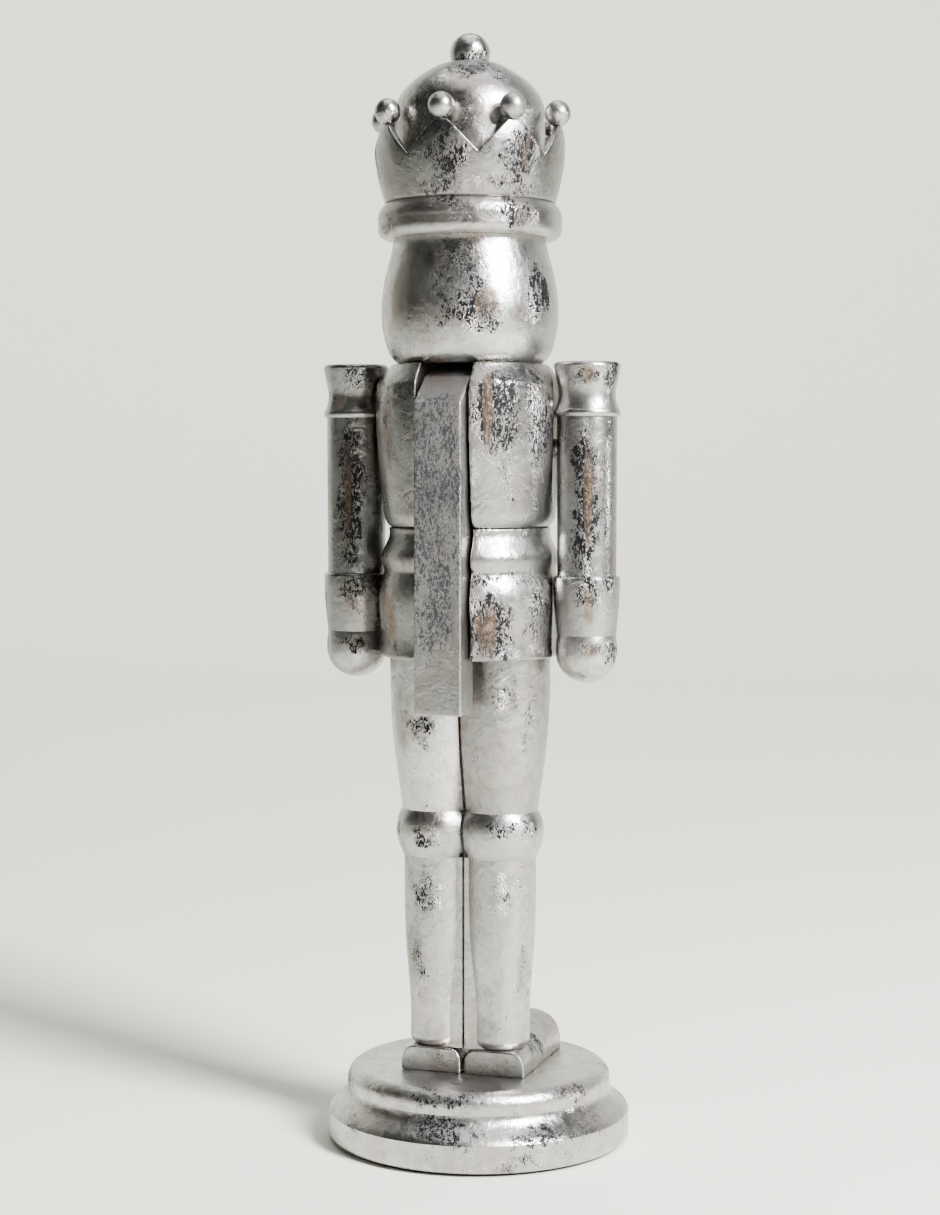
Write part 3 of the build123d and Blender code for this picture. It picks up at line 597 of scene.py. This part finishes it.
def leaf_for(piece):
    """The leaf finish of one piece, with its own patches and tone."""
    return leaf_finish(
        "leaf_" + piece,
        rubbed=[patch(piece, *numbers) for numbers in RUBBED.get(piece, ())],
        warmed=[patch(piece, *numbers) for numbers in WARMED.get(piece, ())],
        tone=TONE.get(piece, USUAL_TONE),
    )


plain_leaf = leaf_finish("leaf_plain", tone=0.72, worn_all_over=0.10)
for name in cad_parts:
    paint(name, leaf_for(name) if name in RUBBED else plain_leaf)
print(len(RUBBED), "pieces have patches of their own")

# %% [markdown]
# The few pieces without leaf. The pad under the plinth is pressed wool felt: short fibres lying
# every way. Its colour is partly the fibres' own mixed tone and partly painted: a painted highlight
# where the fibres stand up and painted shade between them. The dowels are bare beech, whose grain runs
# along them, with the short dark flecks that tell beech from other pale woods. The shoulder pegs show
# between the chest and the arms, so they were leafed with the rest. The pins and screws are
# zinc-plated steel with fine scratches along them.

# %% Felt, bare beech and steel
UPRIGHT = (1, 1, 0.08)
CROSSWISE = (0.08, 1, 1)


def wool_felt():
    """Dark pressed felt with a fibrous nap; its colour carries a painted highlight on the raised fibres and
    painted shade between them.
    """
    material, tree, shader, place = new_material("wool_felt")
    fibres = noise_of(tree, place, 1500, 4, 0.7, 2.0)
    tufts = noise_of(tree, place, 320, 3, 0.6)
    nap_and_painted_sheen = math_of(tree, "MULTIPLY", fibres, between(tree, tufts, 0.3, 0.7, 0.6, 1.0))
    # Painted highlight and painted shade: the felt is paler where the nap stands up and darker between the
    # fibres, on top of their own mixed tone.
    colour = mixed(tree, between(tree, nap_and_painted_sheen, 0.25, 0.60), (0.030, 0.030, 0.033), (0.10, 0.10, 0.105))
    tree.links.new(colour, shader.inputs["Base Color"])
    shader.inputs["Roughness"].default_value = 0.95
    shader.inputs["Sheen Weight"].default_value = 0.3
    add_relief(tree, shader, nap_and_painted_sheen, 0.6, 0.0006)
    return material


def bare_beech():
    """Pale unfinished beech with upright grain and short dark flecks."""
    material, tree, shader, place = new_material("bare_beech")
    along = stretched(tree, place, UPRIGHT)
    grain = noise_of(tree, along, 700, 4, 0.6, 0.4)
    flecks = between(tree, noise_of(tree, along, 1900, 2, 0.5), 0.60, 0.68)
    wood = mixed(tree, between(tree, grain, 0.35, 0.65), (0.50, 0.33, 0.19), (0.66, 0.48, 0.30))
    wood = mixed(tree, math_of(tree, "MULTIPLY", flecks, 0.55), wood, (0.30, 0.17, 0.09))
    tree.links.new(wood, shader.inputs["Base Color"])
    tree.links.new(between(tree, grain, 0.3, 0.7, 0.68, 0.54), shader.inputs["Roughness"])
    add_relief(tree, shader, grain, 0.3, 0.0003)
    return material


def plated_steel(name, along):
    """Zinc-plated steel with fine scratches; along is small on the axis that they follow."""
    material, tree, shader, place = new_material(name)
    scratches = noise_of(tree, stretched(tree, place, along), 2400, 3, 0.6)
    haze = noise_of(tree, place, 160, 3, 0.6)
    colour = mixed(tree, between(tree, haze, 0.35, 0.65), (0.56, 0.57, 0.59), (0.68, 0.68, 0.68))
    tree.links.new(colour, shader.inputs["Base Color"])
    shader.inputs["Metallic"].default_value = 1.0
    tree.links.new(between(tree, scratches, 0.35, 0.65, 0.22, 0.40), shader.inputs["Roughness"])
    add_relief(tree, shader, scratches, 0.25, 0.0002)
    return material


# %% The pieces that carry them
DOWELS = ("waist_dowel", "neck_dowels", "knee_dowels", "hip_dowels", "arm_dowels", "finial_dowel")
paint("felt_pad", wool_felt())
beech = bare_beech()
for name in DOWELS:
    paint(name, beech)
upright_steel = plated_steel("steel_upright", UPRIGHT)
for name in ("base_screws", "pearl_pins"):
    paint(name, upright_steel)
paint("pivot_pin", plated_steel("steel_crosswise", CROSSWISE))
print(len(DOWELS), "sets of dowels in bare beech")

# %% [markdown]
# The crown's wall. On the real figure the points were sawn out of a flared cup and their edges
# eased with sandpaper, so every cut edge carries a thin bright line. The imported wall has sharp
# edges, so the wall is made again as one closed surface: at each angle a section runs up the
# outside, over a rounded rim and down the inside, and the rim's height follows the points.

# %% The crown's wall: its sizes, its flare and its sawn edge
wall_low, wall_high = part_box("crown_wall")
WALL_REACH = (wall_high.x - wall_low.x) / 2
WALL_THICK = 2.2 * MM
RIM_ROUND = 0.5 * MM
POINTS = 8
COLUMNS = POINTS * 48
VALLEY_SHARE = 0.574
NOTCH_HALF = 10.4 * MM
FLARE_DEGREE = 4
FLARE_HEIGHTS = np.array([0.0, 0.161, 0.382, 0.643, 0.803, 1.0])
FLARE_RADII = np.array([29.0, 30.1, 31.3, 32.3, 32.4, 31.9]) / 32.4
flare_curve = np.polynomial.Polynomial.fit(FLARE_HEIGHTS, FLARE_RADII, FLARE_DEGREE)


def flare(z):
    """Outside radius of the cup at height z: one smooth curve through the turned profile."""
    share = (z - wall_low.z) / (wall_high.z - wall_low.z)
    return flare_curve(share) * WALL_REACH


def rim_height(angle):
    """Height of the sawn edge: it rises straight from each valley until it meets the flat of a point."""
    step = 2 * pi / POINTS
    off = np.abs((angle - pi / 2) % step - step / 2)
    valley = wall_low.z + VALLEY_SHARE * (wall_high.z - wall_low.z)
    rise = (wall_high.z - valley) / NOTCH_HALF
    return np.minimum(valley + rise * WALL_REACH * np.sin(off), wall_high.z)


print("crown:", POINTS, "points,", round(WALL_REACH * 2000), "mm across")

# %% The crown's wall as a closed ring of sections
angle = np.arange(COLUMNS) * 2 * pi / COLUMNS
rim = rim_height(angle)
ease = np.linspace(0, pi / 2, 5)[:, None]
up = np.linspace(0, 1, 16)[:, None]
rounding_in = RIM_ROUND * (1 - np.cos(ease))
rounding_down = RIM_ROUND * (1 - np.sin(ease))
side_z = wall_low.z + up * (rim - RIM_ROUND - wall_low.z)
section = [
    (0 * side_z, side_z),
    (rounding_in[1:] + 0 * rim, rim - rounding_down[1:]),
    (WALL_THICK - rounding_down + 0 * rim, rim - rounding_in),
    (WALL_THICK + 0 * side_z[:-1], side_z[:-1][::-1]),
]
inset = np.concatenate([part_inset for part_inset, _ in section])
wall_z = np.concatenate([part_z for _, part_z in section])
wall_r = flare(wall_z) - inset
wall_points = np.stack([
    AXIS_X + wall_r * np.cos(angle), AXIS_Y + wall_r * np.sin(angle), wall_z,
], axis=-1)
last_row = (len(wall_z) - 1) * COLUMNS + np.arange(COLUMNS)
first_row = np.arange(COLUMNS)
closing = np.stack([last_row, np.roll(last_row, -1), np.roll(first_row, -1), first_row], axis=-1)
ring_faces = grid_faces(len(wall_z), COLUMNS, wrap=True)
crown = mesh_object("crown_points", wall_points, np.concatenate([ring_faces, closing]))
crown.data.materials.append(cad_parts["crown_wall"].data.materials[0])
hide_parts("crown_wall")
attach(crown, "figure")
print("crown wall:", len(crown.data.polygons), "faces")

# %% [markdown]
# The lever is handled more than any other piece, and its back is flat, so the bole shows there as
# a close network of grey, except at its lower end. Its patches are wide, flat ellipsoids on that
# face, and its ink is greyer than on the turned pieces.

# %% The lever's crazed back
lever_low, lever_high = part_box("jaw_lever")
lever_tall = lever_high.z - lever_low.z


def on_lever(z, half_width, half_depth, half_height, strength):
    """A patch centred on the lever's back face at height z; half sizes in mm."""
    centre = ((lever_low.x + lever_high.x) / 2, lever_high.y, z)
    return centre, (half_width * MM, half_depth * MM, half_height * MM), strength


crazed = [
    on_lever(lever_low.z + 0.58 * lever_tall, 18, 5, 72, 0.88),
    on_lever(lever_high.z - 20 * MM, 14, 4, 20, 0.8),
    on_lever(lever_low.z + 8 * MM, 14, 4, 12, 0.3),
]
paint("jaw_lever", leaf_finish("leaf_jaw_lever", rubbed=crazed, tone=0.69, roughness=0.34, ink=GREY_BOLE))
print("lever:", round(lever_tall * 1000), "mm tall")

# %% [markdown]
# Soft edges. Under the leaf lie several coats of gesso, so no sawn or turned edge of the real
# figure is sharp: each is rounded by half a millimetre and carries a line of light. The slotted
# body, the lever and the shoes have too many meeting cuts for one formula, so each is made from
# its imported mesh: the copy's triangles are merged, the whole is remeshed in fine even cells, and
# a little smoothing eases every edge alike, as a coat of gesso does.

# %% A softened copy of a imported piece
SAME_PLACE = 0.01 * MM


def gesso_coated(piece, body, cell, passes):
    """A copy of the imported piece, remeshed in cells of this size and smoothed this many times."""
    mesh = bpy.data.meshes.new("softened_" + piece)
    gathered = bmesh.new()
    gathered.from_mesh(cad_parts[piece].data)
    bmesh.ops.remove_doubles(gathered, verts=gathered.verts, dist=SAME_PLACE)
    gathered.to_mesh(mesh)
    gathered.free()
    coated = bpy.data.objects.new("softened_" + piece, mesh)
    bpy.context.scene.collection.objects.link(coated)
    cells = coated.modifiers.new("cells", "REMESH")
    cells.mode = "VOXEL"
    cells.voxel_size = cell
    cells.use_smooth_shade = True
    eased = coated.modifiers.new("eased", "SMOOTH")
    eased.factor = 0.5
    eased.iterations = passes
    bpy.context.view_layer.update()
    evaluated = coated.evaluated_get(bpy.context.evaluated_depsgraph_get())
    finished = bpy.data.meshes.new_from_object(evaluated)
    coated.modifiers.clear()
    coated.data = finished
    finished.shade_smooth()
    finished.materials.clear()
    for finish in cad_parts[piece].data.materials:
        finished.materials.append(finish)
    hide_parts(piece)
    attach(coated, body)
    print(coated.name, "has", len(finished.polygons), "faces")


# %% The softened pieces
COARSE_CELL = 0.62 * MM
FINE_CELL = 0.5 * MM
COATS = 4
for piece in ("chest", "coat_skirt"):
    gesso_coated(piece, "figure", COARSE_CELL, COATS)
gesso_coated("jaw_lever", "jaw", FINE_CELL, COATS)
for piece in ("left_shoe", "right_shoe"):
    gesso_coated(piece, "figure", FINE_CELL, COATS)
